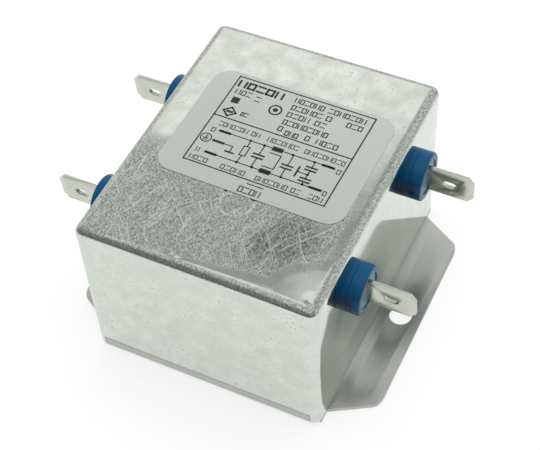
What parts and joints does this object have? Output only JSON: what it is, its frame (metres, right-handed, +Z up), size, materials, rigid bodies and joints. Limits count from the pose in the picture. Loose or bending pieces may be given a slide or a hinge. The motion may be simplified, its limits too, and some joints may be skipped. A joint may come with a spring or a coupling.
{
  "type": "emi line filter",
  "caption": "Mains interference filter in a drawn metal can with mounting lugs, blue bushings and flat push-on tabs for line and load.",
  "frame": {"origin": "on the mounting plane, under the middle of the can", "axes": "+X from the line terminals to the load terminals, +Y from the front to the back, +Z up out of the mounting plane"},
  "size_m": [0.0694, 0.0564, 0.0344],
  "materials": {
    "tinned_steel": "bright tinned sheet, finely spangled, with light scratches",
    "plate_steel": "bright tinned sheet",
    "label_film": "satin grey film label",
    "blue_plastic": "moulded blue nylon",
    "tinned_brass": "tin-plated brass sheet",
    "ferrite": "sintered ferrite, matte",
    "divider_plastic": "moulded nylon",
    "enamelled_copper": "clear enamelled copper wire",
    "yellow_plastic": "moulded capacitor case",
    "capacitor_blue": "moulded capacitor case",
    "resistor_lacquer": "lacquered resistor body",
    "resin": "cast epoxy resin"
  },
  "bodies": {
    "root": {"can": "tinned_steel", "base_plate": "plate_steel", "label": "label_film", "bushing_line_neutral": "blue_plastic", "bushing_line_live": "blue_plastic", "bushing_load_neutral": "blue_plastic", "bushing_load_live": "blue_plastic", "tab_line_neutral": "tinned_brass", "tab_line_live": "tinned_brass", "tab_load_neutral": "tinned_brass", "tab_load_live": "tinned_brass", "choke_core": "ferrite", "choke_divider": "divider_plastic", "winding_neutral": "enamelled_copper", "winding_live": "enamelled_copper", "line_x_capacitor": "yellow_plastic", "load_x_capacitor": "yellow_plastic", "neutral_y_capacitor": "capacitor_blue", "live_y_capacitor": "capacitor_blue", "discharge_resistor": "resistor_lacquer", "sealing_resin": "resin"}
  },
  "joints": []
}
